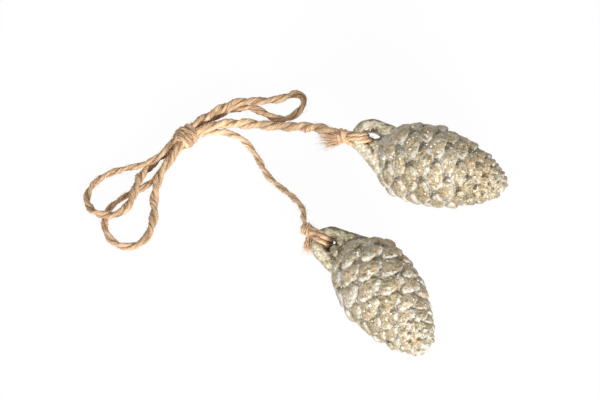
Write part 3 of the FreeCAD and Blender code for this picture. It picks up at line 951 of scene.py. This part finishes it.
def roughen(mesh, marks):
    """Lumps and fine creases, weaker on the eye. Gives the marks with the crease added."""
    normals = [vertex.normal.copy() for vertex in mesh.vertices]
    rough_marks = []
    for vertex, normal, mark in zip(mesh.vertices, normals, marks):
        push = 0.0
        for length, depth in CAST_ROUGHNESS:
            push += noise.noise(vertex.co / length) * depth
        crease = abs(noise.noise(vertex.co / CREASE_LENGTH))
        push += (CREASE_LEVEL - crease) * CREASE_DEPTH
        rough_marks.append((*mark, max(1 - crease / CREASE_WIDTH, 0.0)))
        if mark[2] < 0:
            push *= EYE_ROUGHNESS
        vertex.co += normal * push
    return rough_marks


# What the marks are called. On the eye, lip is the normal's y instead, which is 1 at its back, where it
# gives the eye painted shade.
MARK_NAMES = ("lip", "recess", "tint", "crease")
EYE_FRONT = -0.1
EYE_TONE = {"upper_cone": 0.005, "lower_cone": -0.035}


def make_cone(name):
    """A casting laid down in place of its CAD node. Its eye has painted shade, darker where it faces the
    back.
    """
    mesh, marks = cast_body(CAST_WEBS[name])
    marks = roughen(mesh, marks)
    mesh.name = f"{name}_casting"
    mesh.transform(Matrix.Scale(MM, 4) @ laid_matrix(name))
    floor = min(vertex.co.z for vertex in mesh.vertices)
    mesh.transform(Matrix.Translation((0, 0, -min(floor, 0.0))))
    add_attribute(mesh, "tone", [EYE_TONE[name]] * len(mesh.vertices))
    for label, column in zip(MARK_NAMES, zip(*marks)):
        if label == "lip":
            # Painted shade on the eye: its lip mark is how far each vertex faces the back.
            painted_back_shade = [max(vertex.normal.y, EYE_FRONT) for vertex in mesh.vertices]
            column = [back if mark[2] < 0 else lip for back, mark, lip in zip(painted_back_shade, marks, column)]
        add_attribute(mesh, label, column)
    place_piece(mesh, casting_finish, name)


GOLD_DARK = (0.19, 0.145, 0.07)
GOLD = (0.36, 0.29, 0.18)
GOLD_PALE = (0.57, 0.495, 0.36)
WASH_DIM = (0.42, 0.398, 0.36)
WASH = (0.665, 0.642, 0.6)
DARK_SPECK_AND_SHADE = (0.13, 0.1, 0.055)
AMBER = (0.45, 0.31, 0.155)
RUBBED = (0.72, 0.65, 0.48)
EYE_DARK = (0.11, 0.093, 0.048)
EYE_GOLD = (0.43, 0.362, 0.235)
EYE_PALE = (0.79, 0.71, 0.55)
GLINT = (0.95, 0.87, 0.69)

# The coat: its patterns' rates per metre, the share of cells without a fleck, the flecks' tilt.
BROAD_RATE = 60
CLOUD_RATE = 330
AMBER_RATE = 420
VEIN_RATE = 560
GRIT_RATE = 750
FINE_RATE = 1700
FLECK_RATE = 1900
FLECK_SHARE = 0.984
FLECK_TILT = 0.55
CAST_BUMP = 0.36 * MM


def make_casting_finish():
    """Champagne gold on the pads, a whitish frost round them, dark specks with painted shade in the
    recesses, painted shade on the eye's back, and fine glitter.
    """
    net = Net(bpy.data.materials.new("gilded_casting"))
    place = net.add("ShaderNodeTexCoord", {}, "Object")
    lip, recess, tint, crease, tone = (net.attribute(label) for label in MARK_NAMES + ("tone",))
    cloud = net.noise(place, CLOUD_RATE, 4.0, 0.6)
    broad = net.noise(place, BROAD_RATE, 2.0)
    grit = net.noise(place, GRIT_RATE, 4.0, 0.62)
    fine = net.noise(place, FINE_RATE, 2.0, 0.6)
    off_eye = net.math("GREATER_THAN", tint, -0.5)

    pad = net.math("SUBTRACT", net.total(grit, (tint, 0.14), (broad, 0.2), (cloud, 0.7)), 0.35)
    pad_gold = net.ramp(pad, [(0.52, GOLD_DARK), (0.68, GOLD), (0.86, GOLD_PALE)])
    amber = net.ramp(net.noise(place, AMBER_RATE, 1.0), [(0.51, 0.0), (0.65, 0.75)])
    pad_gold = net.blend(amber, pad_gold, AMBER)
    eye = net.math("MULTIPLY", net.total(net.math("ADD", cloud, grit), (fine, 0.5)), 0.37)
    # Painted shade: the eye is darker where its lip mark says it faces the back.
    eye = net.math("ADD", net.total(eye, (lip, -0.24)), tone)
    eye_gold = net.ramp(eye, [(0.3, EYE_DARK), (0.42, EYE_GOLD), (0.51, EYE_PALE)])
    gold = net.blend(off_eye, eye_gold, pad_gold)

    edge = net.math("MULTIPLY", net.math("MULTIPLY", lip, off_eye), 0.85)
    edge = net.math("MAXIMUM", edge, recess)
    frost = net.ramp(net.total(cloud, (edge, 0.3), (broad, 0.3)), [(0.74, 0.0), (0.92, 0.95)])
    frost = net.math("MULTIPLY", frost, net.math("MULTIPLY_ADD", off_eye, 0.75, 0.25))
    colour = net.blend(frost, gold, net.ramp(grit, [(0.36, WASH_DIM), (0.6, WASH)]))

    vein_stops = [(0.455, 0.0), (0.49, 1.0), (0.51, 1.0), (0.545, 0.0)]
    vein = net.math("MULTIPLY", net.ramp(net.noise(place, VEIN_RATE, 1.0), vein_stops), 0.7)
    rubbed = net.math("MULTIPLY", net.math("MAXIMUM", crease, vein), off_eye)
    rubbed = net.math("MULTIPLY", rubbed, 0.45)
    colour = net.blend(rubbed, colour, RUBBED)

    # Dark specks at random, and more of them in the recesses as painted shade.
    speck_and_shade = net.ramp(net.total(fine, (recess, 0.35)), [(0.74, 0.0), (0.95, 0.9)])
    colour = net.blend(net.math("MULTIPLY", speck_and_shade, off_eye), colour, DARK_SPECK_AND_SHADE)

    cell = net.add("ShaderNodeTexVoronoi", {"Vector": place, "Scale": FLECK_RATE}, "Color")
    fleck = net.math("GREATER_THAN", net.add("ShaderNodeSeparateColor", {0: cell}), FLECK_SHARE)
    fleck = net.math("MULTIPLY", fleck, off_eye)
    colour = net.blend(fleck, colour, GLINT)

    metal = net.math("MULTIPLY_ADD", off_eye, -0.32, 0.6)
    metal = net.math("MULTIPLY", net.math("SUBTRACT", 1.0, frost), metal)
    metal = net.math("MAXIMUM", net.math("MAXIMUM", metal, rubbed), fleck)
    rough = net.total(net.math("MULTIPLY_ADD", frost, 0.2, 0.3), (off_eye, 0.17))

    tilt = net.vector("SUBTRACT", {0: cell, 1: (0.5, 0.5, 0.5)})
    tilt = net.vector("SCALE", {0: tilt, "Scale": FLECK_TILT})
    normal = net.add("ShaderNodeNewGeometry", {}, "Normal")
    normal = net.vector("NORMALIZE", {0: net.vector("ADD", {0: normal, 1: tilt})})
    height = net.total(grit, (fine, 0.5))
    bumps = {"Strength": 0.85, "Distance": CAST_BUMP, "Height": height, "Normal": normal}
    net.fill(net.nodes["Principled BSDF"], {
        "Base Color": colour,
        "Metallic": metal,
        "Roughness": rough,
        "Normal": net.add("ShaderNodeBump", bumps),
    })
    return net.owner


casting_finish = make_casting_finish()
for name in CONES:
    make_cone(name)


def lay_short(strands, points, width, phase=0.0, taper=0.0, fluff=1.0):
    """A short stretch of twine through control points given in millimetres."""
    line = smooth_line(points)
    lay_plies(strands, line, width, phase, taper)
    fuzz(strands, line, fluff)


# The bow's knot, in millimetres: a point of its axis and its heading.
BOW_CENTRE = Vector((-78.7, 46.4, 3.7))
BOW_HEADING = math.radians(41.7)
BOW_SEED = 31
BOW_TONE = 1.06
# Place along the knot's axis and radius of the wraps' centreline, at each half turn.
BOW_WRAPS = [
    (-3.2, 1.7), (-2.9, 2.3), (-2.5, 2.6), (-1.5, 2.75), (-0.7, 2.75),
    (0.1, 2.6), (1.7, 2.35), (2.2, 2.35), (2.7, 1.9),
]
BOW_WRAP_STEPS = 10
BOW_LOOSENESS = 1.06
BOW_START = math.radians(150)
BOW_TAPER = 2 * MM
# Strands inside the wraps, by their distance to the left of the axis and their height.
BOW_CORE = [(1.2, 2.5), (1.2, 5.0), (-1.1, 2.5), (-1.1, 5.0)]
BOW_CORE_WIDTH = 0.85
BOW_HALF_LENGTH = 3.6
BOW_PINCH = 0.7
CORE_FLUFF = 0.4


def make_bow_knot():
    """The bow's knot: two wraps close together, a groove and a slimmer wrap, round the strands."""
    strands = Strands(BOW_SEED, BOW_TONE)
    axis = flat(BOW_HEADING)
    left = UP.cross(axis)
    halves = np.arange(len(BOW_WRAPS))
    stations, radii = zip(*BOW_WRAPS)
    points = []
    for step in range(BOW_WRAP_STEPS * (len(BOW_WRAPS) - 1) // 2 + 1):
        half = 2 * step / BOW_WRAP_STEPS
        station = float(np.interp(half, halves, stations))
        radius = float(np.interp(half, halves, radii)) * BOW_LOOSENESS
        angle = BOW_START - math.pi * half
        points.append(BOW_CENTRE + axis * station + around(left, UP, angle) * radius)
    lay_short(strands, points, 1.0, phase=0.6, taper=BOW_TAPER)
    for number, (side, height) in enumerate(BOW_CORE):
        first, last = (BOW_CENTRE + axis * reach * BOW_HALF_LENGTH + left * side for reach in (-1, 1))
        first.z = last.z = height
        middle = BOW_CENTRE + left * side * BOW_PINCH
        middle.z = BOW_CENTRE.z + (height - BOW_CENTRE.z) * BOW_PINCH
        lay_short(strands, [first, middle, last], BOW_CORE_WIDTH, phase=number, fluff=CORE_FLUFF)
    return strands.finish("bow_knot")


# Ties, in millimetres and degrees, down to the frayed ends' sizes. First each one's seed and cone, and
# the angles in the eye's plane of the pull and of the turns inside the hole.
TIES = {
    "upper_tie": (32, "upper_cone", 191.0, 246.0),
    "lower_tie": (33, "lower_cone", 160.4, 138.0),
}
# Frayed end of each tie: its start along the pull, its shift beside it, way, length and spread.
BRUSHES = {
    "upper_tie": (4.2, (0.6, -1.3, -0.5), (-0.85, 0.3, -0.36), 11.0, 0.22),
    "lower_tie": (5.0, (0.3, 0.0, 0.0), (0.0, -0.62, -0.75), 8.0, 0.14),
}
# Painted light: the ties are painted paler, to make up for the shade among the frayed end's fibres.
TIE_TONE = 1.14
# Turns: angles of their control points round the bar, distance from its middle and extra on its inner
# side, width, spacing round the bar and in the knot, and loose fibres.
TURN_ANGLES = (62, 100, 140, 180, 220, 260, 298)
TURN_RADIUS = 3.4
TURN_SLACK = 0.7
TURN_WIDTH = 0.86
TURN_SPACING = 1.7
TURN_CLOSING = 0.6
TURN_FLUFF = 0.8
# Painted shade inside the hole: its middle off the eye's centre, its depth and its reach.
HOLE_SHIFT = Vector((0.6, 0.4, 0))
HOLE_SHADE = 0.5
HOLE_REACH = 2.8
# Small knot: distances along the pull from the bar, then its wraps and the strand in them.
KNOT_MIDDLE = 5.8
HEART_START = 3.3
HEART_END = 8.1
WRAP_STEPS = 22
STEPS_PER_HALF_TURN = 5
WRAP_START = 4.4
WRAP_LENGTH = 2.6
WRAP_RADIUS = 1.55
WRAP_WIDTH = 0.68
HEART_WIDTH = 0.9
# Locks and fibres of a frayed end: how many, then their lengths as shares and their radii.
BRUSH_LOCKS = 170
BRUSH_FIBRES = 420
LOCK_SIZES = ((0.5, 1.0), (0.14, 0.26))
FIBRE_SIZES = ((0.4, 1.15), (0.04, 0.08))
BRUSH_RADIUS = 0.9
BRUSH_CURL = 0.5


def brush(strands, start, way, length, spread):
    """A frayed end: loose locks and single fibres that fan out from one place, in millimetres."""
    chance = strands.chance
    way = way.normalized()
    side = way.cross(UP).normalized()
    rise = side.cross(way)
    for number in range(BRUSH_LOCKS + BRUSH_FIBRES):
        angle = chance.uniform(0, FULL_TURN)
        reach = math.sqrt(chance.random())
        out = around(side, rise, angle)
        root = start + out * reach * BRUSH_RADIUS
        heading = way + out * reach * spread
        lengths, radii = LOCK_SIZES if number < BRUSH_LOCKS else FIBRE_SIZES
        long = chance.uniform(*lengths) * length * MM
        hair(strands, root * MM, heading, long, chance.uniform(*radii) * MM, BRUSH_CURL)


def paint_shade_in_hole(strands, hole, up):
    """The twine is painted darker where it goes through the eye's hole, as painted shade."""
    for index, spot in enumerate(strands.vertices):
        away = Vector(spot) / MM - hole
        away -= up * away.dot(up)
        strands.tones[index] -= HOLE_SHADE * (1 - float(smooth_step(0.3, 1.0, away.length / HOLE_REACH)))


def make_tie(name):
    """Two turns side by side round the arch, closed by a small knot with a frayed end."""
    seed, cone, pull_angle, inner_angle = TIES[name]
    strands = Strands(seed, TIE_TONE)
    laid = laid_matrix(cone)
    turn = laid.to_3x3()
    up = turn @ UP

    def arch_frame(degrees):
        """The bar's middle at an angle of the arch, with the ways outwards and along it."""
        pull = flat(math.radians(degrees))
        return laid @ (EYE_CENTRE + pull * EYE_BEND_RADIUS), turn @ pull, turn @ UP.cross(pull)

    bar, out, along = arch_frame(pull_angle)
    knot = bar + out * KNOT_MIDDLE
    for side in (-0.5, 0.5):
        closing = knot + along * side * TURN_CLOSING
        points = [closing]
        for degrees in TURN_ANGLES:
            place = math.radians(degrees)
            inward = 0.5 - 0.5 * math.cos(place)
            arch, away, beside = arch_frame(pull_angle + (inner_angle - pull_angle) * inward)
            radius = TURN_RADIUS + TURN_SLACK * max(-math.cos(place), 0)
            points.append(arch + around(away, up, place) * radius)
            points[-1] += beside * side * TURN_SPACING
        points.append(closing)
        lay_short(strands, points, TURN_WIDTH, phase=side * 3, fluff=TURN_FLUFF)
    # Painted shade on the twine inside the eye's hole.
    paint_shade_in_hole(strands, laid @ (EYE_CENTRE + HOLE_SHIFT), up)
    wraps = []
    for step in range(WRAP_STEPS + 1):
        reach = WRAP_START + WRAP_LENGTH * step / WRAP_STEPS
        swing = around(along, up, math.pi * step / STEPS_PER_HALF_TURN)
        wraps.append(bar + out * reach + swing * WRAP_RADIUS)
    lay_short(strands, wraps, WRAP_WIDTH, phase=1.0)
    heart = [bar + out * HEART_START, knot, bar + out * HEART_END]
    lay_short(strands, heart, HEART_WIDTH, fluff=CORE_FLUFF)
    reach, shift, way, length, spread = BRUSHES[name]
    brush(strands, bar + out * reach + Vector(shift), Vector(way), length, spread)
    return strands.finish(name)


knots = {"bow_knot": make_bow_knot(), **{name: make_tie(name) for name in TIES}}
